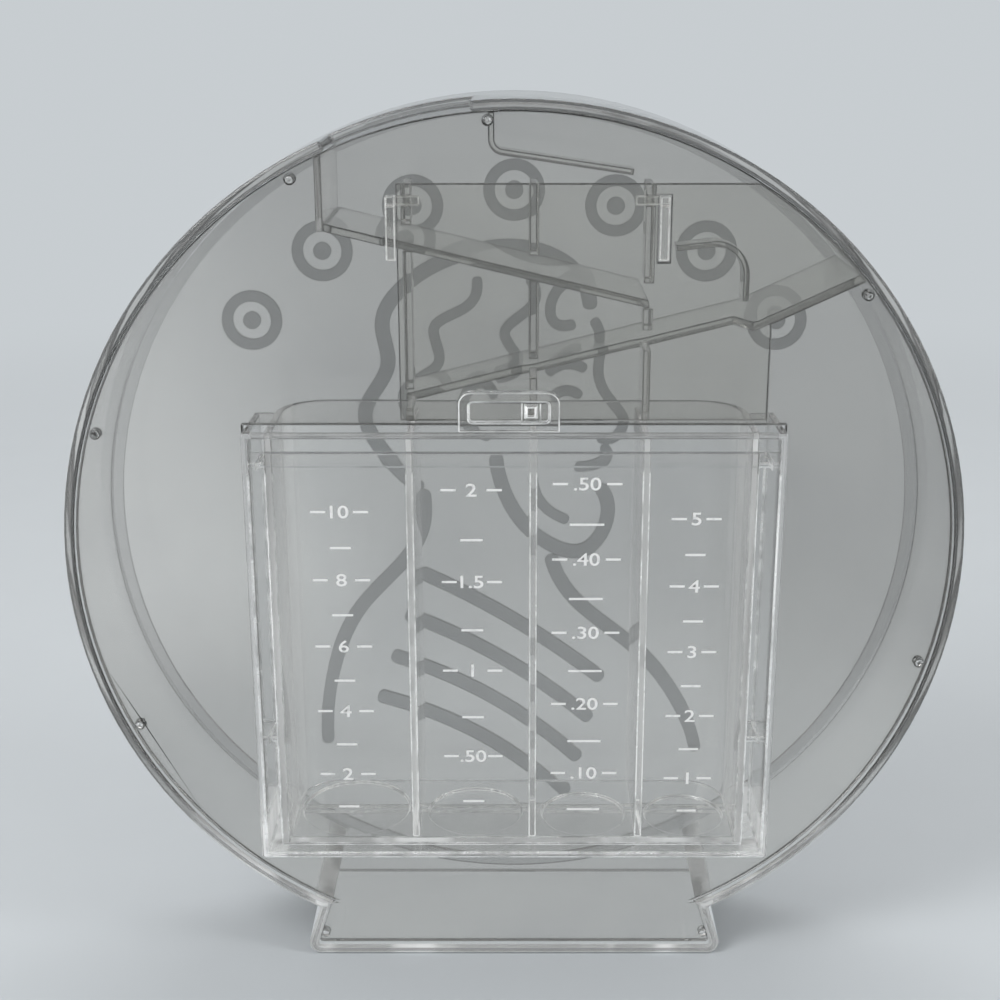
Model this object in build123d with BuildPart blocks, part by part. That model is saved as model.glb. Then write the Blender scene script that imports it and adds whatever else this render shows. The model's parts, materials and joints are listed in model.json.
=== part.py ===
# Clear plastic coin bank that sorts coins into a pull-out tray.
# Millimetres, +Z up, origin on the floor under the middle of the box.
# The tray side faces -Y and the embossed face +Y, with +X to the right from the tray side.
import os
from math import cos, hypot, radians, sin, sqrt, tan

from build123d import *

# Drum and foot
drum_radius = 90.0
case_depth = 32.0
rim_wall = 2.0
foot_drop = 1.0
foot_share = 0.5033
foot_rise_share = 0.1333
foot_splay = 3.7
foot_corner = 2.5
face_thickness = 2.0
cover_thickness = 2.0
cover_recess = 1.2
inset_gap = 0.1
cement_gap = 0.05

# Embossing on the round face
relief_height = 0.8
bead_width = 2.2
coin_ring_radius = 6.4
coin_ring_line = 2.4
coin_ring_dot = 1.9
coin_ring_inset = 18.0
coin_ring_step = 17.5
coin_ring_count = 7
outline_share = 0.0356
detail_share = 0.0256
stroke_end = 0.42

# Coin slot in the rim and the pegs that hold the cover
slot_start = -23.6
slot_end = -5.3
slot_back = 15.0
peg_radius = 0.8
peg_clearance = 0.05
peg_from_edge = 1.7
peg_head = 0.8
peg_angles = (-3.3, -29.2, -72.6, -115.4, 51.8, 105.4)
foot_peg_inset = 4.4

# Coins, largest first, as the columns stand from left to right
coin_diameters = (24.26, 21.21, 19.05, 17.91)
column_play = 1.6
depth_play = 0.6

# Pull-out tray
tray_proud = 3.9
tray_corner_room = 4.0
tray_share = 0.302
tray_fit = 0.35
finger_channel = 2.9
frame_wall = 1.4
frame_depth = 17.8
frame_bar = 1.1
frame_bar_depth = 1.9
frame_web = 1.5
bin_wall = 1.5
bin_offset = -0.5
bin_corner = 10.0
floor_thickness = 1.5
floor_rise = 2.8
dish_depth = 0.6
dish_margin = 0.6
seat_gap = 0.3
panel_thickness = 1.5
panel_recess = 0.4
panel_drop = 3.9
panel_lip = 2.7
divider_thickness = 1.5
divider_drop = 1.2
grip_rib = 1.2
grip_rib_depth = 8.0
grip_rib_low = 23.2
grip_rib_high = 8.8

# Latch tab on the tray and the peg on the cover that it snaps over
tab_width = 19.6
tab_height = 8.0
tab_thickness = 2.0
tab_offset = -1.0
tab_corner = 2.5
tab_border = 2.0
tab_recess = 0.8
tab_gap = 0.3
catch_offset = 3.25
catch_rise = 4.1
catch_width = 2.6
catch_height = 3.0
catch_clearance = 0.35
catch_length = 4.2
catch_chamfer = 0.4

# Sorter inside the drum
plate_setback = 0.4
plate_thickness = 1.2
plate_margin = 1.1
plate_share = 0.8256
tray_clearance = 0.8
rim_gap = 0.4
rib_depth = 7.5
coin_pass = 3.4
ramp_thickness = 1.6
ramp_overrun = 0.9
ramp_high_share = 0.838
ramp_low_share = 0.515
shelf_thickness = 1.8
shelf_end_rise = 2.6
shelf_margin = 1.2
shelf_bend_share = 0.43
entry_slope = 25.0
edge_run = 2.5
funnel_wall = 1.4
funnel_margin = 1.0
guide_wall = 1.2
guide_depth = 5.0
guide_x = -4.3
guide_knee = 6.1
guide_end_x = 22.5
guide_end = 2.1
deflector_wall = 1.2
deflector_share = 0.765
deflector_lift = 4.4
deflector_margin = 2.7
deflector_fall = 1.5
deflector_radius = 6.0
hook_width = 1.9
hook_arm = 4.6
hook_drop = 2.4
hook_height = 12.3
hook_thickness = 1.5
hook_clearance = 0.2

# Places along the depth, from the tray side back
rim_front = -(case_depth + relief_height - tray_proud) / 2
rim_back = rim_front + case_depth
cover_front = rim_front + cover_recess
cover_back = cover_front + cover_thickness
face_front = rim_back - face_thickness
tray_front = rim_front - tray_proud
plate_front = cover_back + plate_setback
plate_back = plate_front + plate_thickness
lane_front = plate_back + cement_gap
lane_back = face_front - cement_gap
panel_front = tray_front + panel_recess
panel_back = panel_front + panel_thickness
bin_front = panel_back + cement_gap
bin_inner_depth = coin_diameters[0] + depth_play
bin_back = bin_front + bin_inner_depth + bin_wall

# Places across the tray: left edge of each column, and of each divider after it
column_widths = [diameter + column_play for diameter in coin_diameters]
bin_inner_width = sum(column_widths) + divider_thickness * (len(column_widths) - 1)
bin_left = bin_offset - bin_inner_width / 2
bin_right = bin_left + bin_inner_width
column_lefts = [bin_left + sum(column_widths[:i]) + i * divider_thickness for i in range(len(column_widths))]
divider_lefts = [left - divider_thickness for left in column_lefts[1:]]
divider_names = ("left", "middle", "right")
bin_outer_left = bin_left - bin_wall
bin_outer_right = bin_right + bin_wall
tray_half_width = max(-bin_outer_left, bin_outer_right) + finger_channel + frame_wall

# Heights of the drum and tray
inner_radius = drum_radius - rim_wall
centre_height = drum_radius + foot_drop
foot_half_bottom = foot_share * drum_radius
foot_height = foot_rise_share * drum_radius
foot_half_top = foot_half_bottom - foot_splay
tray_bottom = centre_height - sqrt((inner_radius - tray_corner_room) ** 2 - tray_half_width**2)
tray_top = centre_height + tray_share * drum_radius
floor_underside = tray_bottom + floor_rise
floor_top = floor_underside + floor_thickness
panel_top = tray_top - panel_drop
grip_rib_heights = (tray_bottom + grip_rib_low, tray_top - grip_rib_high)

# Places in the sorter, which fills the space between the tray and the rim
drop_bottom = tray_top + tray_clearance
plate_left = divider_lefts[0] - plate_margin
plate_top = centre_height + plate_share * drum_radius
sorter_height = plate_top - drop_bottom
ramp_left = inner_radius * sin(radians(slot_start)) - funnel_margin
ramp_right = divider_lefts[2] + ramp_overrun
ramp_high = drop_bottom + ramp_high_share * sorter_height
ramp_low = drop_bottom + ramp_low_share * sorter_height
shelf_left = plate_left + rim_gap
shelf_low = drop_bottom + shelf_end_rise
shelf_bend_x = bin_right + shelf_margin
shelf_bend_z = drop_bottom + shelf_bend_share * sorter_height
hook_top = plate_top - hook_drop


def facing(y, z=0):
    # Drawing plane seen from the tray side, X to the right and Z up, at depth y with its middle at height z
    return Plane((0, y, z), x_dir=(1, 0, 0), z_dir=(0, -1, 0))


def keyhole(inset):
    # Drum circle joined to its foot, drawn in by inset all round
    slant = (foot_half_bottom - foot_half_top) / foot_height
    side = inset * hypot(1, slant)
    low = foot_half_bottom - slant * inset - side
    high = foot_half_top - side
    with Locations((0, centre_height)):
        Circle(drum_radius - inset)
    Polygon((-low, inset), (low, inset), (high, foot_height), (-high, foot_height), align=None)
    fillet(vertices().group_by(Axis.Y)[0], max(foot_corner - inset, foot_corner / 4))


def rim_spot(angle, radius):
    # Place on a circle round the drum's centre, clockwise from the top, with local Y pointing outwards
    turn = radians(angle)
    return Location((radius * sin(turn), centre_height + radius * cos(turn)), -angle)


def span(x_low, x_high, z_low, z_high, mode=Mode.ADD):
    # Rectangle between two sides and two heights
    with Locations(((x_low + x_high) / 2, (z_low + z_high) / 2)):
        Rectangle(x_high - x_low, z_high - z_low, mode=mode)


def ramp_z(x):
    # Height of the upper ramp's top surface
    return ramp_high + (ramp_low - ramp_high) * (x - ramp_left) / (ramp_right - ramp_left)


def shelf_z(x):
    # Height of the sorting shelf's top surface, steeper where the coins land
    if x > shelf_bend_x:
        return shelf_bend_z + (x - shelf_bend_x) * tan(radians(entry_slope))
    return shelf_low + (shelf_bend_z - shelf_low) * (x - shelf_left) / (shelf_bend_x - shelf_left)


def stroke(width, *points):
    # Flat curved line of even width with rounded ends, through points given for a drum of radius 90
    unit = drum_radius / 90
    line = trace(Spline(*[(x * unit, z * unit) for x, z in points]), line_width=width)
    return fillet(line.vertices(), stroke_end * width)


def finish(builder, name):
    builder.part.label = name
    export_step(builder.part, f"parts/{name}.step")
    print(name, round(builder.part.volume, 1))


os.makedirs("parts", exist_ok=True)

# Rim band: the round wall that runs down into the foot, with the coin slot cut in its tray-side edge
with BuildPart() as rim_band:
    with BuildSketch(facing(rim_front)):
        keyhole(0)
    extrude(amount=-case_depth)
    with BuildSketch(facing(rim_front)):
        keyhole(rim_wall)
    extrude(amount=-case_depth, mode=Mode.SUBTRACT)
    with BuildSketch(facing(rim_front)):
        reach = 2 * drum_radius
        Polygon(
            (0, centre_height),
            (reach * sin(radians(slot_start)), centre_height + reach * cos(radians(slot_start))),
            (reach * sin(radians(slot_end)), centre_height + reach * cos(radians(slot_end))),
            align=None,
        )
        with Locations((0, centre_height)):
            Circle(drum_radius - 2 * rim_wall, mode=Mode.SUBTRACT)
    extrude(amount=-slot_back, mode=Mode.SUBTRACT)
finish(rim_band, "rim_band")

# Strokes of the embossed bust in profile, round the drum's centre
outline_width = outline_share * drum_radius
detail_width = detail_share * drum_radius
hair = [
    stroke(outline_width, (16, 45), (13, 53), (3, 58), (-10, 57), (-22, 51), (-28, 42), (-27, 33), (-32, 23),
           (-28, 13), (-20, 5)),
    stroke(detail_width, (15, 50), (9, 49), (8, 43), (13, 42)),
    stroke(detail_width, (3, 52), (3, 45), (-2, 40), (1, 34), (-4, 30)),
    stroke(detail_width, (-8, 52), (-11, 45), (-17, 41), (-16, 34), (-22, 29), (-21, 20)),
]
face = [
    stroke(detail_width, (16.6, 43), (18.4, 37), (18, 31), (20.6, 25.4), (23.6, 20.6), (22.4, 17.4), (18, 17)),
    stroke(detail_width, (19, 15), (20.2, 12.6), (17.5, 10.8), (13, 10.6)),
    stroke(detail_width, (7, 31), (11, 33.2), (15.4, 32)),
    stroke(detail_width, (8, 25.6), (11, 27.4), (14.4, 26)),
    stroke(detail_width, (-4, 26), (-8, 29), (-11, 25), (-8.5, 18.5), (-5, 17)),
]
beard = [
    stroke(outline_width, (-4, 13), (-1, 2), (7, -7), (15, -9), (20, -3), (18.4, 6)),
    stroke(detail_width, (4, 8), (6, 2), (12, -2)),
]
coat = [
    stroke(outline_width, (-20, 5), (-22, -8), (-34, -22), (-41, -38), (-43, -56)),
    stroke(outline_width, (8, -10), (14, -21), (27, -32), (37, -45), (42, -58)),
]
for drop in (0, 10, 20, 30):
    coat.append(
        stroke(outline_width, (-21 - drop / 3, -14 - drop), (-4 - drop / 6, -23 - drop), (20 - drop / 4, -40 - drop))
    )

# Front face: set into the far end of the band, with a raised bead like a coin's edge and line embossing
with BuildPart() as front_face:
    with BuildSketch(facing(face_front)):
        keyhole(rim_wall + inset_gap)
    extrude(amount=-face_thickness)
    with BuildSketch(facing(rim_back)):
        with Locations((0, centre_height)):
            Circle(inner_radius - inset_gap)
            Circle(inner_radius - inset_gap - bead_width, mode=Mode.SUBTRACT)
    extrude(amount=-relief_height)
    # Arc of coin rings along the top
    first_ring = -coin_ring_step * (coin_ring_count - 1) / 2
    ring_angles = [first_ring + i * coin_ring_step for i in range(coin_ring_count)]
    with BuildSketch(facing(rim_back)):
        with Locations(*[rim_spot(angle, inner_radius - coin_ring_inset) for angle in ring_angles]):
            Circle(coin_ring_radius)
            Circle(coin_ring_radius - coin_ring_line, mode=Mode.SUBTRACT)
            Circle(coin_ring_dot)
    extrude(amount=-relief_height)
    # Bust
    with BuildSketch(facing(rim_back, centre_height)):
        add(hair + face + beard + coat)
    extrude(amount=-relief_height)
finish(front_face, "front_face")

# Back cover: flat plate set into the tray end of the band, with the tray's opening
peg_circle = inner_radius - inset_gap - peg_from_edge
foot_peg_x = foot_half_bottom - foot_peg_inset
peg_spots = [rim_spot(angle, peg_circle) for angle in peg_angles]
peg_spots += [Location((side * foot_peg_x, foot_peg_inset)) for side in (-1, 1)]
with BuildPart() as back_cover:
    with BuildSketch(facing(cover_front)):
        keyhole(rim_wall + inset_gap)
        opening_half = tray_half_width + tray_fit
        span(-opening_half, opening_half, tray_bottom - tray_fit, tray_top + tray_fit, Mode.SUBTRACT)
        with Locations(*peg_spots):
            Circle(peg_radius + peg_clearance, mode=Mode.SUBTRACT)
    extrude(amount=-cover_thickness)
finish(back_cover, "back_cover")

# Cover pegs: small round-headed pegs through the cover's edge
with BuildPart() as cover_pegs:
    with BuildSketch(facing(cover_front - peg_head)):
        with Locations(*peg_spots):
            Circle(peg_radius)
    extrude(amount=-(peg_head + cover_thickness))
    fillet(edges().group_by(Axis.Y)[0], peg_radius * 0.75)
finish(cover_pegs, "cover_pegs")

# Sorter plate: upright plate behind the cover, with the ribs between the lanes on its back
hook_left = plate_left - hook_clearance
hook_right = divider_lefts[2] + divider_thickness + 1.0
hook_low = hook_top - hook_height
arm_low = hook_top - hook_width
arm_front = plate_back + cement_gap
plate_right = shelf_bend_x + edge_run
with BuildPart() as sorter_plate:
    with BuildSketch(facing(plate_front)):
        Polygon(
            (plate_left, drop_bottom),
            (plate_left, plate_top),
            (drum_radius, plate_top),
            (drum_radius, shelf_z(drum_radius) - shelf_thickness),
            (plate_right, shelf_z(plate_right) - shelf_thickness),
            (plate_right, drop_bottom),
            align=None,
        )
        with Locations((0, centre_height)):
            Circle(inner_radius - rim_gap, mode=Mode.INTERSECT)
        span(
            hook_right - hook_clearance,
            hook_right + hook_width + hook_clearance,
            hook_low - hook_clearance,
            hook_top + hook_clearance,
            Mode.SUBTRACT,
        )
    extrude(amount=-plate_thickness)
    with BuildSketch(facing(plate_back)):
        for left in divider_lefts:
            right = left + divider_thickness
            span(left, right, shelf_z(right) + coin_pass, ramp_z(right) - ramp_thickness - cement_gap)
            span(left, right, ramp_z(left) + coin_pass, plate_top)
    extrude(amount=-rib_depth)
    with BuildSketch(facing(plate_back)):
        arm_room = (arm_low - hook_clearance, hook_top + hook_clearance)
        span(divider_lefts[0] - 1, divider_lefts[0] + divider_thickness + 1, *arm_room)
        span(divider_lefts[2] - 1, divider_lefts[2] + divider_thickness + 1, *arm_room)
    extrude(amount=-(cement_gap + hook_thickness + hook_clearance), mode=Mode.SUBTRACT)
finish(sorter_plate, "sorter_plate")

# Upper ramp: coins from the slot slide down it to the right
with BuildPart() as upper_ramp:
    with BuildSketch(facing(cover_back + cement_gap)):
        Polygon(
            (ramp_left, ramp_z(ramp_left)),
            (ramp_right, ramp_z(ramp_right)),
            (ramp_right, ramp_z(ramp_right) - ramp_thickness),
            (ramp_left, ramp_z(ramp_left) - ramp_thickness),
            align=None,
        )
    extrude(amount=-(lane_back - cover_back - cement_gap))
    with BuildSketch(facing(cover_back)):
        span(plate_left - 2 * hook_clearance - hook_width, drum_radius, 0, 2 * drum_radius)
    extrude(amount=-(lane_front + hook_thickness / 8 - cover_back), mode=Mode.SUBTRACT)
finish(upper_ramp, "upper_ramp")

# Sorting shelf: its near edge steps back from lane to lane, so that each coin tips off over its own column
lane_edges = [
    lane_front + (coin_diameters[i] + coin_diameters[i - 1]) / 4 for i in range(1, len(coin_diameters))
]
middles = [left + divider_thickness / 2 for left in divider_lefts]
with BuildPart() as sorting_shelf:
    with BuildSketch(facing(lane_front)):
        Polygon(
            (shelf_left, shelf_z(shelf_left)),
            (shelf_bend_x, shelf_bend_z),
            (drum_radius, shelf_z(drum_radius)),
            (drum_radius, shelf_z(drum_radius) - shelf_thickness),
            (shelf_bend_x, shelf_bend_z - shelf_thickness),
            (shelf_left, shelf_z(shelf_left) - shelf_thickness),
            align=None,
        )
        with Locations((0, centre_height)):
            Circle(inner_radius - rim_gap, mode=Mode.INTERSECT)
    extrude(amount=-(lane_back - lane_front))
    with BuildSketch(Plane.XY):
        Polygon(
            (bin_right, lane_front - 1),
            (bin_right, lane_front),
            (bin_right - edge_run, lane_edges[2]),
            (middles[2], lane_edges[2]),
            (middles[2] - edge_run, lane_edges[1]),
            (middles[1], lane_edges[1]),
            (middles[1] - edge_run, lane_edges[0]),
            (shelf_left - 1, lane_edges[0]),
            (shelf_left - 1, lane_front - 1),
            align=None,
        )
    extrude(amount=2 * drum_radius, mode=Mode.SUBTRACT)
finish(sorting_shelf, "sorting_shelf")

# Drop dividers: short walls that keep each falling coin over its own column
for i, name in enumerate(divider_names):
    with BuildPart() as drop_divider:
        with BuildSketch(facing(lane_front)):
            left = divider_lefts[i]
            span(left, left + divider_thickness, drop_bottom, shelf_z(left) - seat_gap)
        extrude(amount=-(lane_edges[i] - lane_front - seat_gap))
    finish(drop_divider, f"drop_divider_{name}")

# Deflector: bent rib that turns the coins down from the ramp to the shelf
deflector_left = hook_right + hook_width + deflector_fall
deflector_right = shelf_bend_x - deflector_margin
deflector_top = drop_bottom + deflector_share * sorter_height
with BuildPart() as deflector:
    with BuildSketch(facing(lane_front)):
        with BuildLine():
            FilletPolyline(
                (deflector_left, deflector_top - deflector_fall),
                (deflector_right, deflector_top),
                (deflector_right, shelf_z(deflector_right) + deflector_lift),
                radius=deflector_radius,
            )
        trace(line_width=deflector_wall)
    extrude(amount=-guide_depth)
finish(deflector, "deflector")

# Funnel: a wall at the low end of the slot and a bent guide at its high end
with BuildPart() as funnel_wall_left:
    with BuildSketch(facing(cover_back + cement_gap)):
        wall_right = ramp_left - cement_gap
        span(wall_right - funnel_wall, wall_right, ramp_z(ramp_left) - ramp_thickness, 2 * drum_radius)
        with Locations((0, centre_height)):
            Circle(inner_radius - rim_gap, mode=Mode.INTERSECT)
    extrude(amount=-(lane_back - cover_back - cement_gap))
finish(funnel_wall_left, "funnel_wall")

with BuildPart() as funnel_guide:
    with BuildSketch(facing(cover_back + cement_gap)):
        with BuildLine():
            FilletPolyline(
                (guide_x, centre_height + sqrt(inner_radius**2 - guide_x**2) - rim_gap),
                (guide_x, plate_top + guide_knee),
                (guide_end_x, plate_top + guide_end),
                radius=2 * guide_wall,
            )
        trace(line_width=guide_wall)
    extrude(amount=-guide_depth)
finish(funnel_guide, "funnel_guide")

# Plate hooks: legs on the cover whose arms reach behind the sorter plate
with BuildPart() as plate_hook_left:
    with BuildSketch(facing(cover_back + cement_gap)):
        span(hook_left - hook_width, hook_left, hook_low, hook_top)
    extrude(amount=-(arm_front - cover_back - cement_gap))
    with BuildSketch(facing(arm_front)):
        span(hook_left - hook_width, hook_left + hook_arm, arm_low, hook_top)
    extrude(amount=-hook_thickness)
finish(plate_hook_left, "plate_hook_left")

with BuildPart() as plate_hook_right:
    with BuildSketch(facing(cover_back + cement_gap)):
        span(hook_right, hook_right + hook_width, hook_low, hook_top)
    extrude(amount=-(arm_front - cover_back - cement_gap))
    with BuildSketch(facing(arm_front)):
        span(hook_right - hook_arm, hook_right + hook_width, arm_low, hook_top)
    extrude(amount=-hook_thickness)
finish(plate_hook_right, "plate_hook_right")

# Catch peg: square peg on the cover's outside
catch_z = tray_top + catch_rise
with BuildPart() as catch_peg:
    with BuildSketch(facing(cover_front - cement_gap)):
        with Locations((catch_offset, catch_z)):
            Rectangle(catch_width, catch_height)
    extrude(amount=catch_length)
    chamfer(edges().group_by(Axis.Y)[0], catch_chamfer)
finish(catch_peg, "catch_peg")

# Tray frame: open surround with finger channels down both sides
inside = tray_half_width - frame_wall
web_front = tray_front + frame_depth - frame_web
with BuildPart() as tray_frame:
    with BuildSketch(facing(tray_front)):
        span(-tray_half_width, tray_half_width, tray_bottom, tray_top)
        span(-inside, inside, tray_bottom + frame_wall, tray_top - frame_bar, Mode.SUBTRACT)
    extrude(amount=-frame_depth)
    with BuildSketch(facing(tray_front + frame_bar_depth)):
        span(-inside, inside, tray_bottom + frame_wall, tray_top + frame_bar)
    extrude(amount=-frame_depth, mode=Mode.SUBTRACT)
    with BuildSketch(facing(web_front)):
        span(-tray_half_width, tray_half_width, tray_bottom, tray_top)
        span(
            bin_outer_left - cement_gap,
            bin_outer_right + cement_gap,
            floor_underside - cement_gap,
            tray_top + frame_bar,
            Mode.SUBTRACT,
        )
    extrude(amount=-frame_web)
    with BuildSketch(facing(web_front - grip_rib_depth)):
        for height in grip_rib_heights:
            span(-tray_half_width, bin_outer_left - cement_gap, height - grip_rib / 2, height + grip_rib / 2)
            span(bin_outer_right + cement_gap, tray_half_width, height - grip_rib / 2, height + grip_rib / 2)
    extrude(amount=-(grip_rib_depth + frame_web))
finish(tray_frame, "tray_frame")

# Tray bin: back and sides of the coin columns
with BuildPart() as tray_bin:
    with BuildSketch(Plane.XY.offset(floor_underside)):
        span(bin_outer_left, bin_outer_right, bin_front, bin_back)
        fillet(vertices().group_by(Axis.Y)[-1], bin_corner)
    extrude(amount=tray_top - floor_underside)
    with BuildSketch(Plane.XY.offset(floor_underside)):
        span(bin_left, bin_right, bin_front - bin_wall, bin_back - bin_wall)
        fillet(vertices().group_by(Axis.Y)[-1], bin_corner - bin_wall)
    extrude(amount=tray_top, mode=Mode.SUBTRACT)
finish(tray_bin, "tray_bin")

# Tray front: clear window over the columns with a thicker lip along its top
with BuildPart() as tray_window:
    with BuildSketch(facing(panel_front)):
        span(bin_outer_left, bin_outer_right, floor_underside, panel_top)
    extrude(amount=-panel_thickness)
    with BuildSketch(facing(tray_front)):
        span(bin_outer_left, bin_outer_right, panel_top - panel_lip, panel_top)
    extrude(amount=-(panel_recess + panel_thickness))
finish(tray_window, "tray_window")

# Tray dividers between the columns
for i, name in enumerate(divider_names):
    with BuildPart() as tray_divider:
        with BuildSketch(facing(bin_front)):
            left = divider_lefts[i]
            span(left, left + divider_thickness, floor_top + cement_gap, tray_top - divider_drop)
        extrude(amount=-(bin_inner_depth - cement_gap))
    finish(tray_divider, f"tray_divider_{name}")

# Tray floor: bottom of the columns, with a shallow round dish under each stack
with BuildPart() as tray_floor:
    with BuildSketch(Plane.XY.offset(floor_underside)):
        span(bin_left + cement_gap, bin_right - cement_gap, bin_front, bin_back - bin_wall - cement_gap)
        fillet(vertices().group_by(Axis.Y)[-1], bin_corner - bin_wall - cement_gap)
    extrude(amount=floor_thickness)
    with BuildSketch(Plane.XY.offset(floor_top)):
        for left, width, diameter in zip(column_lefts, column_widths, coin_diameters):
            with Locations((left + width / 2, bin_front + seat_gap + diameter / 2)):
                Circle(diameter / 2 - dish_margin)
    extrude(amount=-dish_depth, mode=Mode.SUBTRACT)
finish(tray_floor, "tray_floor")

# Latch tab: springy tab on the tray's top bar, with a window that snaps over the catch peg
with BuildPart() as latch_tab:
    tab_middle = tray_top + tab_gap + tab_height / 2
    with BuildSketch(facing(tray_front)):
        with Locations((tab_offset, tab_middle)):
            Rectangle(tab_width, tab_height)
        fillet(vertices().group_by(Axis.Y)[-1], tab_corner)
    extrude(amount=-tab_thickness)
    with BuildSketch(facing(tray_front)):
        with Locations((tab_offset, tab_middle)):
            RectangleRounded(tab_width - 2 * tab_border, tab_height - 2 * tab_border, tab_recess)
    extrude(amount=-tab_recess, mode=Mode.SUBTRACT)
    with BuildSketch(facing(tray_front)):
        with Locations((catch_offset, catch_z)):
            Rectangle(catch_width + 2 * catch_clearance, catch_height + 2 * catch_clearance)
    extrude(amount=-tab_thickness, mode=Mode.SUBTRACT)
finish(latch_tab, "latch_tab")
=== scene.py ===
import json
import math

import bmesh
import bpy
from mathutils import Matrix, Vector


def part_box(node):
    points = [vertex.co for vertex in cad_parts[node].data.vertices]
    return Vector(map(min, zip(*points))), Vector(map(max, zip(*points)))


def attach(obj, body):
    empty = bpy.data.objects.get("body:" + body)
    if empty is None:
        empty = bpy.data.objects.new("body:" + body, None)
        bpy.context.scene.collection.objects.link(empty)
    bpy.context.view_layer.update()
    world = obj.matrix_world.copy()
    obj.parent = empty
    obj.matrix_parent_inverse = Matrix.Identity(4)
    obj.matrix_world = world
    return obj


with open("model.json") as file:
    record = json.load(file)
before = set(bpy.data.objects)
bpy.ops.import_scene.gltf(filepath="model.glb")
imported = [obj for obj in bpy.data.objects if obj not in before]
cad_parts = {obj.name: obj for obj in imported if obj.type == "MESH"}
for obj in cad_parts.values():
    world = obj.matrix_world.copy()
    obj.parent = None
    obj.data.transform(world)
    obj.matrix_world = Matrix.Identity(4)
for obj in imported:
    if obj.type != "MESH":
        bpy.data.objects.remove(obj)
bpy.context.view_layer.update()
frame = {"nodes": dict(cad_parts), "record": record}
nodes = frame["nodes"]
subparts = frame["record"]["subparts"]
mm = 0.001


# a socket that can be used in sums, so 1 - mask adds its own Math node
class Wire:
    def __init__(self, maker, socket):
        self.maker = maker
        self.socket = socket

    # another output of the same node
    def beside(self, output):
        return Wire(self.maker, self.socket.node.outputs[output])

    def __add__(self, other):
        return self.maker.maths("ADD", self, other)

    def __radd__(self, other):
        return self.maker.maths("ADD", other, self)

    def __sub__(self, other):
        return self.maker.maths("SUBTRACT", self, other)

    def __rsub__(self, other):
        return self.maker.maths("SUBTRACT", other, self)

    def __mul__(self, other):
        return self.maker.maths("MULTIPLY", self, other)

    def __rmul__(self, other):
        return self.maker.maths("MULTIPLY", other, self)

    def __pow__(self, other):
        return self.maker.maths("POWER", self, other)


def opaque(colour):
    return (*colour, 1)


# a node tree with one way to add any node
class NodeMaker:
    def __init__(self, tree):
        self.tree = tree
        tree.nodes.clear()

    def add(self, kind, settings=None, inputs=None, output=0):
        node = self.tree.nodes.new(kind)
        for key, value in (settings or {}).items():
            setattr(node, key, value)
        for key, value in (inputs or {}).items():
            if isinstance(value, Wire):
                self.tree.links.new(value.socket, node.inputs[key])
            else:
                node.inputs[key].default_value = value
        return Wire(self, node.outputs[output]) if len(node.outputs) else node

    def maths(self, operation, *values):
        return self.add("ShaderNodeMath", {"operation": operation}, dict(enumerate(values)))

    def place(self, kind="Object"):
        return self.add("ShaderNodeTexCoord", output=kind)

    # how far across, along and up a place is
    def parts(self, place):
        across = self.add("ShaderNodeSeparateXYZ", None, {"Vector": place})
        return across, across.beside("Y"), across.beside("Z")

    # 0 below low, 1 above high
    def between(self, value, low, high):
        return self.add(
            "ShaderNodeMapRange",
            {"interpolation_type": "SMOOTHSTEP"},
            {"Value": value, "From Min": low, "From Max": high},
        )

    # rises over the first two values, falls over the last two
    def band(self, value, riseLow, riseHigh, fallLow, fallHigh):
        return self.between(value, riseLow, riseHigh) * (1.0 - self.between(value, fallLow, fallHigh))

    def mixColour(self, factor, first, second):
        first, second = (c if isinstance(c, Wire) else opaque(c) for c in (first, second))
        return self.add(
            "ShaderNodeMix",
            {"data_type": "RGBA"},
            {"Factor": factor, 6: first, 7: second},
            output=2,
        )

    def noise(self, place, scale, detail=2.0, roughness=0.5):
        return self.add(
            "ShaderNodeTexNoise",
            None,
            {"Vector": place, "Scale": scale, "Detail": detail, "Roughness": roughness},
        )

    def mixShader(self, factor, first, second):
        return self.add("ShaderNodeMixShader", None, {0: factor, 1: first, 2: second})

    def principled(self, inputs):
        return self.add("ShaderNodeBsdfPrincipled", None, inputs)


def newMaterial(name):
    material = bpy.data.materials.new(name)
    material.use_nodes = True
    return material, NodeMaker(material.node_tree)


def closeMaterial(maker, shader):
    maker.add("ShaderNodeOutputMaterial", None, {"Surface": shader})


# Clear moulded plastic: faint smudges, hairline scuffs, a slight ripple and painted shade where it is seen
# at a slant

plasticLook = {
    "ior": 1.51,
    "transmission": 0.96,
    "smudgeScale": 26.0,
    "smudgeEdges": (0.42, 0.72),
    "scuffScale": 420.0,
    "scuffEdges": (0.66, 0.74),
    "scuffTurn": (0.2, 0.5, 0.1),
    "scuffStretch": (1.0, 1.0, 0.08),
    "scuffRough": 1.2,
    "rippleScale": 60.0,
    "rippleDepth": 0.06 * mm,
    "rippleStrength": 0.12,
    "paintedSlantShade": (0.52, 0.53, 0.52),
    "slantShadeShare": 0.3,
    "edgeSlant": (0.35, 1.0),
    "depthTint": (0.45, 0.44, 0.41),
}


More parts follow.
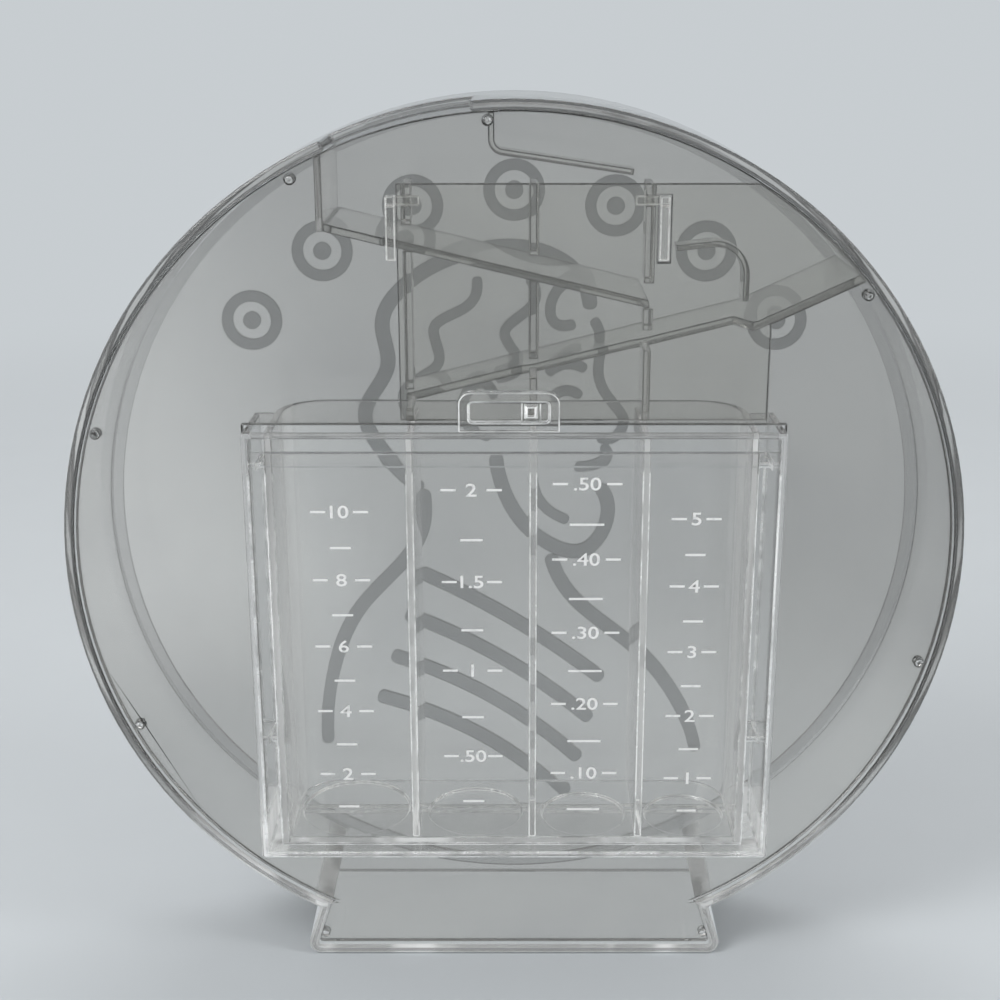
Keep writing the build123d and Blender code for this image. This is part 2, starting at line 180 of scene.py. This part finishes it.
def clearPlastic(name, tone, relief=None, frost=None):
    material, maker = newMaterial(name)
    place = maker.place()
    across, depth, height = maker.parts(place)
    smudge = maker.noise(place, plasticLook["smudgeScale"], 4.0, 0.6)
    smudge = maker.between(smudge, *plasticLook["smudgeEdges"])
    turned = {"Vector": place, "Rotation": plasticLook["scuffTurn"], "Scale": plasticLook["scuffStretch"]}
    stretched = maker.add("ShaderNodeMapping", None, turned)
    scuff = maker.noise(stretched, plasticLook["scuffScale"], 3.0, 0.7)
    scuff = maker.between(scuff, *plasticLook["scuffEdges"])
    haze = tone["hazy"] - tone["clean"]
    rough = tone["clean"] + smudge * haze + scuff * (tone["hazy"] * plasticLook["scuffRough"])
    slant = maker.add("ShaderNodeLayerWeight", None, {"Blend": 0.5}, output="Facing")
    # painted shade: darker where the surface is seen at a slant
    edge = maker.between(slant, *plasticLook["edgeSlant"]) * plasticLook["slantShadeShare"]
    colour = maker.mixColour(smudge, tone["tint"], tone["shade"])
    colour = maker.mixColour(edge, colour, plasticLook["paintedSlantShade"])
    if relief:
        raised, bead = reliefMasks(maker, relief, across, depth, height)
        # painted shade on the raised strokes and on the bead
        colour = maker.mixColour(raised, colour, relief["tint"])
        colour = maker.mixColour(bead, colour, relief["beadShade"])
        grain = maker.noise(place, relief["grainScale"], 3.0)
        rough = rough + raised * (relief["rough"] + grain * relief["grainRough"])
    ripple = {
        "Strength": plasticLook["rippleStrength"],
        "Distance": plasticLook["rippleDepth"],
        "Height": maker.noise(place, plasticLook["rippleScale"]),
    }
    bump = maker.add("ShaderNodeBump", None, ripple)
    clear = {
        "Base Color": colour,
        "Roughness": rough,
        "IOR": plasticLook["ior"],
        "Transmission Weight": plasticLook["transmission"],
        "Normal": bump,
    }
    shader = maker.principled(clear)
    if frost:
        streak = maker.noise(stretched, frost["streakScale"])
        cloudy = frostShare(maker, frost, across, depth, height, streak)
        milky = {
            "Base Color": opaque(frost["tint"]),
            "Roughness": frost["rough"] + streak * frost["streakRough"],
            "Normal": bump,
            # painted glow on the cloudy parts
            "Emission Color": opaque(frost["tint"]),
            "Emission Strength": frost["glow"],
        }
        shader = maker.mixShader(cloudy, shader, maker.principled(milky))
    body = {"Color": opaque(plasticLook["depthTint"]), "Density": tone["smoke"]}
    absorbed = maker.add("ShaderNodeVolumeAbsorption", None, body)
    maker.add("ShaderNodeOutputMaterial", None, {"Surface": shader, "Volume": absorbed})
    return material


# raised lines inside the bead's circle, and the bead
def reliefMasks(maker, relief, across, depth, height):
    up = height - relief["centreHeight"]
    radius = (across * across + up * up) ** 0.5
    start, top = relief["rise"]
    raised = maker.between(depth, relief["faceDepth"] + start, relief["faceDepth"] + top)
    inside = 1.0 - maker.between(radius, relief["radius"], relief["radius"] + relief["margin"])
    return raised * inside, raised * (1.0 - inside)


# cloudy near ends, and a cloudy zone by place across and height
def frostShare(maker, frost, across, depth, height, streak):
    soft = frost["soft"]
    ends = (1.0 - maker.between(depth, frost["depth"], frost["depth"] + frost["endSoft"])) * frost["share"]
    (left, right), (low, high) = frost["across"], frost["height"]
    wide = maker.band(maker.maths("ABSOLUTE", across), left, left + soft, right - soft, right)
    tall = maker.band(height, low, low + soft, high - soft, high)
    cloudy = maker.maths("MAXIMUM", ends, wide * tall * frost["zoneShare"])
    patches = maker.between(streak, *frost["patchEdges"])
    return cloudy * (frost["patchLeast"] + patches * frost["patchMore"])


caseTone = {
    "tint": (0.93, 0.925, 0.91),
    "shade": (0.90, 0.895, 0.885),
    "clean": 0.012,
    "hazy": 0.07,
    "smoke": 22.0,
}
coverTone = dict(caseTone, tint=(0.84, 0.835, 0.82), shade=(0.81, 0.805, 0.795))
plateTone = dict(caseTone, tint=(0.93, 0.93, 0.905), shade=(0.90, 0.90, 0.875), hazy=0.06, smoke=24.0)
sorterTone = dict(plateTone, tint=(0.965, 0.965, 0.945), shade=(0.94, 0.94, 0.92), smoke=10.0)
trayTone = dict(
    caseTone, tint=(0.95, 0.948, 0.94), shade=(0.93, 0.93, 0.925), clean=0.01, hazy=0.06, smoke=5.0
)
binTone = dict(trayTone, smoke=2.0)

# the relief is frosted plastic; its tint and the bead's tint are painted shade
reliefLook = {
    "faceDepth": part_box("front_face")[1].y - 0.8 * mm,
    "rise": (0.1 * mm, 0.4 * mm),
    "centreHeight": 91.0 * mm,
    "radius": 84.0 * mm,
    "margin": 0.3 * mm,
    "tint": (0.18, 0.185, 0.185),
    "beadShade": (0.48, 0.48, 0.475),
    "rough": 0.28,
    "grainScale": 900.0,
    "grainRough": 0.2,
}

# Cloudy cut ends, side walls and dividers of the tray, the band's near edge and the corner above its foot;
# the cloudiness is partly a frosted finish, and these parts also give off a painted glow
everywhere = (-1.0, 1.0)
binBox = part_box("tray_bin")
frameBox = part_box("tray_frame")
binFrost = {
    "depth": binBox[0].y + 0.15 * mm,
    "endSoft": 0.05 * mm,
    "share": 0.75,
    "across": (binBox[1].x - 1.6 * mm, 1.0),
    "height": everywhere,
    "soft": 0.1 * mm,
    "zoneShare": 0.16,
    "tint": (0.88, 0.89, 0.89),
    "rough": 0.35,
    "streakScale": 90.0,
    "streakRough": 0.3,
    "patchEdges": (0.42, 0.62),
    "patchLeast": 0.55,
    "patchMore": 0.75,
    "glow": 0.34,
}
wallFrost = dict(binFrost, across=everywhere, share=0.3, zoneShare=0.09)
frameFrost = dict(
    binFrost,
    depth=frameBox[0].y + 0.1 * mm,
    share=0.12,
    across=(frameBox[1].x - 6.0 * mm, 1.0),
    height=(-1.0, frameBox[0].z + 9.0 * mm),
    soft=1.5 * mm,
    zoneShare=0.4,
)
bandFrost = dict(
    binFrost,
    depth=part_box("rim_band")[0].y + 0.1 * mm,
    share=0.14,
    across=(37.6 * mm, 43.2 * mm),
    height=(11.2 * mm, 15.4 * mm),
    soft=0.9 * mm,
    zoneShare=0.75,
    glow=0.2,
)
# the band's edges turn cloudy towards the foot and give off a painted glow there
footFrost = dict(
    bandFrost,
    share=0.0,
    across=everywhere,
    height=(-1.0, 48.0 * mm),
    soft=34.0 * mm,
    zoneShare=0.5,
    glow=0.26,
)

casePlastic = clearPlastic("caseClear", caseTone)
coverPlastic = clearPlastic("coverClear", coverTone)
facePlastic = clearPlastic("faceEmbossed", coverTone, relief=reliefLook)
bandPlastic = clearPlastic("bandClear", caseTone, frost=bandFrost)
platePlastic = clearPlastic("plateClear", plateTone)
sorterPlastic = clearPlastic("sorterClear", sorterTone)
trayPlastic = clearPlastic("trayClear", trayTone)
framePlastic = clearPlastic("trayFrame", trayTone, frost=frameFrost)
binPlastic = clearPlastic("trayBin", binTone, frost=binFrost)
wallPlastic = clearPlastic("trayWall", binTone, frost=wallFrost)

# Moulded edges: painted dark shade lines on the case and sorter, and on the tray, hooks and peg a painted
# white highlight and glow broken into dimmer patches
# painted shade: the edge tones are darker than the plastic they round
caseEdgeTone = {
    "tint": (0.60, 0.60, 0.595),
    "shade": (0.54, 0.54, 0.535),
    "clean": 0.04,
    "hazy": 0.14,
    "smoke": 20.0,
}
coverEdgeTone = dict(caseEdgeTone, tint=(0.78, 0.78, 0.77), shade=(0.72, 0.72, 0.71))
ribEdgeTone = dict(caseEdgeTone, tint=(0.88, 0.88, 0.86), shade=(0.83, 0.83, 0.81))
darkEdgeShadeTone = dict(caseEdgeTone, tint=(0.36, 0.36, 0.35), shade=(0.30, 0.30, 0.29), clean=0.05, hazy=0.16)
caseEdge = clearPlastic("edgeCase", caseEdgeTone)
bandEdge = clearPlastic("edgeBand", caseEdgeTone, frost=footFrost)
coverEdge = clearPlastic("edgeCover", coverEdgeTone)
ribEdge = clearPlastic("edgeRib", ribEdgeTone)
darkEdgeShade = clearPlastic("edgeDarkShade", darkEdgeShadeTone)

# painted highlight and painted reflection on bevels: a partly metallic mirror and a glow, broken into
# dimmer patches
highlightLook = {
    "tint": (0.93, 0.94, 0.94),
    "wearAndHighlightDim": (0.74, 0.75, 0.75),
    "wearAndHighlightDimScale": 160.0,
    "wearAndHighlightDimEdges": (0.40, 0.66),
    "highlightDimRough": 0.2,
    "rough": 0.26,
    "clearRough": 0.3,
    "reflectionMetallic": 0.6,
    "fullHighlightShare": 1.15,
    "highlightDimLess": 0.5,
    "levelEdges": (0.2, 0.5),
}


# grey says where the painted white highlight fades into painted grey shade, levelLess how much weaker the
# painted highlight is on level edges
def highlightEdge(name, glow, most, grey=None, levelLess=0.0):
    material, maker = newMaterial(name)
    place = maker.place()
    highlightDim = maker.noise(place, highlightLook["wearAndHighlightDimScale"], 4.0, 0.6)
    highlightDim = maker.between(highlightDim, *highlightLook["wearAndHighlightDimEdges"])
    colour = maker.mixColour(highlightDim, highlightLook["tint"], highlightLook["wearAndHighlightDim"])
    rough = highlightLook["rough"] + highlightDim * highlightLook["highlightDimRough"]
    share = most * (highlightLook["fullHighlightShare"] - highlightDim * highlightLook["highlightDimLess"])
    clearColour = colour
    # painted grey shade where the painted highlight fades
    if grey:
        across, _, height = maker.parts(place)
        outer = maker.between(maker.maths("ABSOLUTE", across), *grey["outer"])
        plain = maker.maths("MAXIMUM", outer, maker.between(height, *grey["top"]))
        share = share * (1.0 - plain * grey["less"])
        clearColour = maker.mixColour(plain, colour, grey["tint"])
    # the painted highlight is weaker on level edges
    if levelLess:
        upwards = maker.maths("ABSOLUTE", maker.parts(maker.place("Normal"))[2])
        share = share * (1.0 - maker.between(upwards, *highlightLook["levelEdges"]) * levelLess)
    # painted reflection and painted glow
    highlight = {
        "Base Color": colour,
        "Roughness": rough,
        "Metallic": highlightLook["reflectionMetallic"],
        "Emission Color": colour,
        "Emission Strength": glow,
    }
    clear = {
        "Base Color": clearColour,
        "Roughness": rough * highlightLook["clearRough"],
        "IOR": plasticLook["ior"],
        "Transmission Weight": plasticLook["transmission"],
    }
    closeMaterial(maker, maker.mixShader(share, maker.principled(clear), maker.principled(highlight)))
    return material


# painted grey shade on the tray's outer and top edges, where the painted highlight is weaker
trayGrey = {
    "outer": (frameBox[1].x - 0.8 * mm, frameBox[1].x - 0.6 * mm),
    "top": (frameBox[1].z - 9.0 * mm, frameBox[1].z - 7.5 * mm),
    "less": 0.85,
    "tint": (0.72, 0.72, 0.715),
}
# painted highlight edges for the latch tab, hooks and peg, tray and dividers
whiteHighlightEdge = highlightEdge("edgeHighlight", glow=0.34, most=0.6, levelLess=0.7)
hookEdge = highlightEdge("edgeHook", glow=0.5, most=0.75, levelLess=0.7)
trayEdge = highlightEdge("edgeTray", glow=0.28, most=0.55, grey=trayGrey)
dividerEdge = highlightEdge("edgeDivider", glow=0.5, most=0.8, grey=trayGrey)

# plastic and edges by material slot, then the pieces that differ
slotFinishes = {
    "clear_case": (casePlastic, caseEdge),
    "clear_sorter": (sorterPlastic, darkEdgeShade),
    "clear_tray": (trayPlastic, trayEdge),
}
pieceFinishes = {
    "front_face": (facePlastic, facePlastic),
    "rim_band": (bandPlastic, bandEdge),
    "back_cover": (coverPlastic, coverEdge),
    "sorter_plate": (platePlastic, ribEdge),
    "funnel_wall": (wallPlastic, caseEdge),
    "plate_hook_left": (casePlastic, hookEdge),
    "plate_hook_right": (casePlastic, hookEdge),
    "catch_peg": (casePlastic, hookEdge),
    "latch_tab": (trayPlastic, whiteHighlightEdge),
    "tray_frame": (framePlastic, trayEdge),
    "tray_bin": (binPlastic, trayEdge),
    "tray_floor": (binPlastic, trayEdge),
}
for side in ("left", "middle", "right"):
    pieceFinishes["tray_divider_" + side] = (wallPlastic, dividerEdge)
    pieceFinishes["drop_divider_" + side] = (wallPlastic, ribEdge)

edgeRound = {
    "crisp": ("front_face",),
    "width": 0.25 * mm,
    "wider": {
        "rim_band": 0.6 * mm,
        "latch_tab": 0.28 * mm,
        "plate_hook_left": 0.3 * mm,
        "plate_hook_right": 0.3 * mm,
        "tray_frame": 0.45 * mm,
    },
    "segments": 3,
    "sharpest": {"rim_band": math.radians(75)},
    "sharp": math.radians(32),
    "flat": math.radians(0.6),
    "merge": 0.001 * mm,
}


def paint(node, plastic, edges):
    materials = nodes[node].data.materials
    materials.clear()
    materials.append(plastic)
    materials.append(edges)


# moulded edges are a little round, so each one draws a line
def roundEdges(node):
    piece = nodes[node]
    weld = piece.modifiers.new("weld", "WELD")
    weld.merge_threshold = edgeRound["merge"]
    flatten = piece.modifiers.new("flatten", "DECIMATE")
    flatten.decimate_type = "DISSOLVE"
    flatten.angle_limit = edgeRound["flat"]
    bevel = piece.modifiers.new("rounding", "BEVEL")
    bevel.width = edgeRound["wider"].get(node, edgeRound["width"])
    # the edge material carries the painted edge shade or the painted highlight
    bevel.material = 1  # the edge finish
    bevel.segments = edgeRound["segments"]
    bevel.limit_method = "ANGLE"
    bevel.angle_limit = edgeRound["sharpest"].get(node, edgeRound["sharp"])
    bevel.use_clamp_overlap = False
    bevel.profile = 0.5
    shading = piece.modifiers.new("shading", "WEIGHTED_NORMAL")
    shading.weight = 50


for part in subparts:
    node = part["node"]
    paint(node, *pieceFinishes.get(node, slotFinishes[part["material_slot"]]))
    if node not in edgeRound["crisp"]:
        roundEdges(node)
print("plastic on", len(subparts), "nodes")


# White scale printed on the tray's window

scalePrint = {
    "numeralHeight": 2.65 * mm,
    "boldness": 0.01,
    "widen": 1.25,
    "roundness": 6,
    "thickness": 0.04 * mm,
    "lift": 0.03 * mm,
    "lineHeight": 0.46 * mm,
    "sideDash": 3.0 * mm,
    "windowRecess": 0.4 * mm,
    "ink": (0.93, 0.93, 0.92),
    "wornInk": (0.70, 0.71, 0.71),
    "wearAndHighlightDimScale": 700.0,
    "wearAndHighlightDimEdges": (0.56, 0.72),
    "rough": 0.5,
    "wornRough": 0.2,
}
# zero is the height of nothing, unit the rise for 1, half the drop from a numeral to its short dash
scaleColumns = [
    {
        "across": -34.3 * mm, "zero": 31.0 * mm, "unit": 7.13 * mm, "half": 1.05,
        "width": 11.4 * mm, "shortDash": 4.2 * mm, "numerals": ("10", "8", "6", "4", "2"),
    },
    {
        "across": -8.4 * mm, "zero": 30.2 * mm, "unit": 38.3 * mm, "half": 0.27,
        "width": 12.0 * mm, "shortDash": 4.4 * mm, "numerals": ("2", "1.5", "1", ".50"),
    },
    {
        "across": 14.3 * mm, "zero": 29.85 * mm, "unit": 156.4 * mm, "half": 0.0535,
        "width": 13.6 * mm, "shortDash": 6.8 * mm, "numerals": (".50", ".40", ".30", ".20", ".10"),
    },
    {
        "across": 35.8 * mm, "zero": 30.15 * mm, "unit": 14.14 * mm, "half": 0.53,
        "width": 9.8 * mm, "shortDash": 4.0 * mm, "numerals": ("5", "4", "3", "2", "1"),
    },
]
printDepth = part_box("tray_window")[0].y + scalePrint["windowRecess"] - scalePrint["lift"]


def addDash(bm, across, height, length):
    made = bmesh.ops.create_cube(bm, size=1.0)
    size = (length, scalePrint["thickness"], scalePrint["lineHeight"])
    bmesh.ops.scale(bm, vec=size, verts=made["verts"])
    bmesh.ops.translate(bm, vec=(across, printDepth, height), verts=made["verts"])


# text is made a mesh, stood upright and set to one height
def addNumeral(bm, across, height, body):
    curve = bpy.data.curves.new("numeral", "FONT")
    curve.body = body
    curve.align_x = "CENTER"
    curve.offset = scalePrint["boldness"]
    curve.extrude = 0.005  # any depth, set to the print's thickness below
    curve.resolution_u = scalePrint["roundness"]
    written = bpy.data.objects.new("numeral", curve)
    bpy.context.scene.collection.objects.link(written)
    bpy.context.view_layer.update()
    mesh = bpy.data.meshes.new_from_object(written.evaluated_get(bpy.context.evaluated_depsgraph_get()))
    tops = [v.co.y for v in mesh.vertices]
    sides = [v.co.x for v in mesh.vertices]
    grow = scalePrint["numeralHeight"] / (max(tops) - min(tops))
    middle = Vector(((max(sides) + min(sides)) / 2, (max(tops) + min(tops)) / 2, 0))
    deep = scalePrint["thickness"] / (2 * curve.extrude)
    mesh.transform(Matrix.Translation(-middle))
    mesh.transform(Matrix.Diagonal((grow * scalePrint["widen"], grow, deep, 1)))
    mesh.transform(Matrix.Rotation(math.radians(90), 4, "X"))
    mesh.transform(Matrix.Translation((across, printDepth, height)))
    bm.from_mesh(mesh)
    bpy.data.objects.remove(written)
    bpy.data.curves.remove(curve)
    bpy.data.meshes.remove(mesh)


bm = bmesh.new()
for column in scaleColumns:
    across, zero, unit = column["across"], column["zero"], column["unit"]
    reach = (column["width"] - scalePrint["sideDash"]) / 2
    for body in column["numerals"]:
        value = float(body)
        height = zero + value * unit
        addNumeral(bm, across, height, body)
        addDash(bm, across - reach, height, scalePrint["sideDash"])
        addDash(bm, across + reach, height, scalePrint["sideDash"])
        addDash(bm, across, zero + (value - column["half"]) * unit, column["shortDash"])
bmesh.ops.recalc_face_normals(bm, faces=bm.faces)
printMesh = bpy.data.meshes.new("scale_print")
bm.to_mesh(printMesh)
bm.free()
printPiece = bpy.data.objects.new("scale_print", printMesh)
bpy.context.scene.collection.objects.link(printPiece)
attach(printPiece, "tray")

printPaint, maker = newMaterial("printWhite")
wearAndHighlightDim = maker.noise(maker.place(), scalePrint["wearAndHighlightDimScale"], 3.0, 0.6)
wearAndHighlightDim = maker.between(wearAndHighlightDim, *scalePrint["wearAndHighlightDimEdges"])
inked = {
    "Base Color": maker.mixColour(wearAndHighlightDim, scalePrint["ink"], scalePrint["wornInk"]),
    "Roughness": scalePrint["rough"] + wearAndHighlightDim * scalePrint["wornRough"],
}
closeMaterial(maker, maker.principled(inked))
printMesh.materials.append(printPaint)
print("scale printed,", len(printMesh.polygons), "faces")


# Floor, light and camera

stageLook = {
    "floorSize": 6.0,
    "floorDrop": 0.2 * mm,
    "floorRough": 0.8,
    "speckScale": 40.0,
    "speckTones": (0.985, 1.015),
    "pale": (0.575, 0.61, 0.635),
    "throughLeft": (0.72, 0.763, 0.794),
    "throughRight": (0.523, 0.555, 0.578),
    "dim": (0.26, 0.265, 0.268),
    "bright": (1.5, 1.51, 1.52),
    "high": (0.26, 0.265, 0.27),
    "highLeft": (1.3, 1.31, 1.32),
    "frontLeft": (1.5, 1.51, 1.52),
    "frontRight": (0.12, 0.125, 0.13),
    "ambient": (0.52, 0.52, 0.52),
    # distances from the object on the floor
    "nearFloor": (0.34, 0.75),
    "nearThrough": (0.14, 0.22),
    "nearShade": (0.12, 0.36),
    "middle": 0.12,
    "frontEdge": (-0.15, -0.05),
    # turns to the side, in radians
    "wedgeTurns": (0.40, 0.48, 1.05, 1.2),
    "dimTurns": (0.58, 0.66, 0.84, 0.92),
    "frontTurns": (-0.52, -0.16),
    "throughTurns": (-0.42, -0.10),
    # directions in the sky
    "highStart": (0.34, 0.6),
    "highSide": (-0.6, -0.2),
}
floorMesh = bpy.data.meshes.new("floor")
bm = bmesh.new()
bmesh.ops.create_grid(bm, x_segments=1, y_segments=1, size=stageLook["floorSize"] / 2)
bmesh.ops.translate(bm, vec=(0, 0, -stageLook["floorDrop"]), verts=bm.verts)
bm.to_mesh(floorMesh)
bm.free()
floorPiece = bpy.data.objects.new("floor", floorMesh)
bpy.context.scene.collection.objects.link(floorPiece)


# 1 for rays that come off or through the plastic
def throughPlastic(maker):
    path = maker.add("ShaderNodeLightPath", output="Is Glossy Ray")
    return path + path.beside("Is Transmission Ray")


# 1 for rays mirrored off the outside only
def mirrored(maker):
    path = maker.add("ShaderNodeLightPath", output="Is Glossy Ray")
    return path * (1.0 - path.beside("Is Transmission Ray"))


# what the plastic shows: bright and dim wedges to the sides, a room lit from the left in front,
# and straight through it a backdrop that is lighter on the left
def wedges(maker, across, along, middle, reach, seenThrough):
    ahead = maker.maths("ABSOLUTE", along)
    turn = maker.maths("ARCTAN2", maker.maths("ABSOLUTE", across) - middle, ahead)
    inside = maker.band(turn, *stageLook["wedgeTurns"]) * reach
    dimmer = maker.band(turn, *stageLook["dimTurns"])
    ends = maker.mixColour(dimmer, stageLook["bright"], stageLook["dim"])
    turned = maker.maths("ARCTAN2", across, ahead)
    lit = maker.between(turned, *stageLook["frontTurns"])
    front = maker.mixColour(lit, stageLook["frontLeft"], stageLook["frontRight"])
    facing = (1.0 - maker.between(along, *stageLook["frontEdge"])) * reach
    shaded = maker.between(turned, *stageLook["throughTurns"])
    behind = maker.mixColour(shaded, stageLook["throughLeft"], stageLook["throughRight"])
    base = maker.mixColour(seenThrough, stageLook["pale"], behind)
    base = maker.mixColour(facing, base, front)
    return maker.mixColour(inside, base, ends)


floorPaint, maker = newMaterial("floorPale")
place = maker.place()
across, along, _ = maker.parts(place)
distance = (across * across + along * along) ** 0.5
speck = maker.noise(place, stageLook["speckScale"], 4.0)
darker, lighter = ([c * tone for c in stageLook["pale"]] for tone in stageLook["speckTones"])
colour = maker.mixColour(speck, darker, lighter)
matt = maker.principled({"Base Color": colour, "Roughness": stageLook["floorRough"]})
reach = maker.between(distance, *stageLook["nearThrough"]) * mirrored(maker)
away = maker.between(distance, *stageLook["nearShade"])
seen = wedges(maker, across, along, stageLook["middle"], reach, throughPlastic(maker) * away)
even = maker.add("ShaderNodeEmission", None, {"Color": seen})
farther = maker.between(distance, *stageLook["nearFloor"])
share = maker.maths("MAXIMUM", throughPlastic(maker), farther)
closeMaterial(maker, maker.mixShader(share, matt, even))
floorMesh.materials.append(floorPaint)

world = bpy.data.worlds.new("studio")
bpy.context.scene.world = world
world.use_nodes = True
maker = NodeMaker(world.node_tree)
across, along, up = maker.parts(maker.place("Generated"))
room = wedges(maker, across, along, 0.0, mirrored(maker), throughPlastic(maker))
sideways = maker.between(across, *stageLook["highSide"])
above = maker.mixColour(sideways, stageLook["highLeft"], stageLook["high"])
room = maker.mixColour(maker.between(up, *stageLook["highStart"]), room, above)
seenStraight = maker.add("ShaderNodeLightPath", output="Is Camera Ray")
plain = maker.mixColour(seenStraight, stageLook["ambient"], stageLook["pale"])
sky = maker.mixColour(throughPlastic(maker), plain, room)
shine = maker.add("ShaderNodeBackground", None, {"Color": sky, "Strength": 1.0})
maker.add("ShaderNodeOutputWorld", None, {"Surface": shine})

lamps = {
    "keyLeft": {"place": (-0.55, -0.45, 0.75), "size": (0.35, 0.6), "power": 4.0},
    "fillRight": {"place": (0.7, -0.25, 0.4), "size": (0.16, 0.6), "power": 1.7},
    "topBack": {"place": (0.1, 0.5, 0.8), "size": (0.8, 0.3), "power": 2.2},
}
lampTarget = Vector((0, 0, 90.0 * mm))
for name, lamp in lamps.items():
    light = bpy.data.lights.new(name, "AREA")
    light.shape = "RECTANGLE"
    light.size, light.size_y = lamp["size"]
    light.energy = lamp["power"]
    holder = bpy.data.objects.new(name, light)
    bpy.context.scene.collection.objects.link(holder)
    holder.location = lamp["place"]
    aim = lampTarget - holder.location
    holder.rotation_euler = aim.to_track_quat("-Z", "Y").to_euler()

cameraLook = {
    "place": (0, -298.05 * mm, 196.1 * mm),
    "pitch": 16.5,
    "lens": 54.25,
    "sensor": 36.0,
    "shift": (-0.0142, -0.041),
    "nearest": 0.01,
}
cameraData = bpy.data.cameras.new("photoCamera")
cameraData.lens = cameraLook["lens"]
cameraData.sensor_width = cameraLook["sensor"]
cameraData.shift_x, cameraData.shift_y = cameraLook["shift"]
cameraData.clip_start = cameraLook["nearest"]
camera = bpy.data.objects.new("photoCamera", cameraData)
bpy.context.scene.collection.objects.link(camera)
camera.location = cameraLook["place"]
camera.rotation_euler = (math.radians(90 - cameraLook["pitch"]), 0, 0)
bpy.context.scene.camera = camera

# light trapped in the clear walls needs many bounces before it comes out
bounces = {"max": 28, "transparent": 40}
scene = bpy.context.scene
scene.view_settings.view_transform = "Standard"
scene.cycles.max_bounces = bounces["max"]
scene.cycles.transmission_bounces = bounces["max"]
scene.cycles.glossy_bounces = bounces["max"]
scene.cycles.transparent_max_bounces = bounces["transparent"]
print("stage, lamps and camera set")
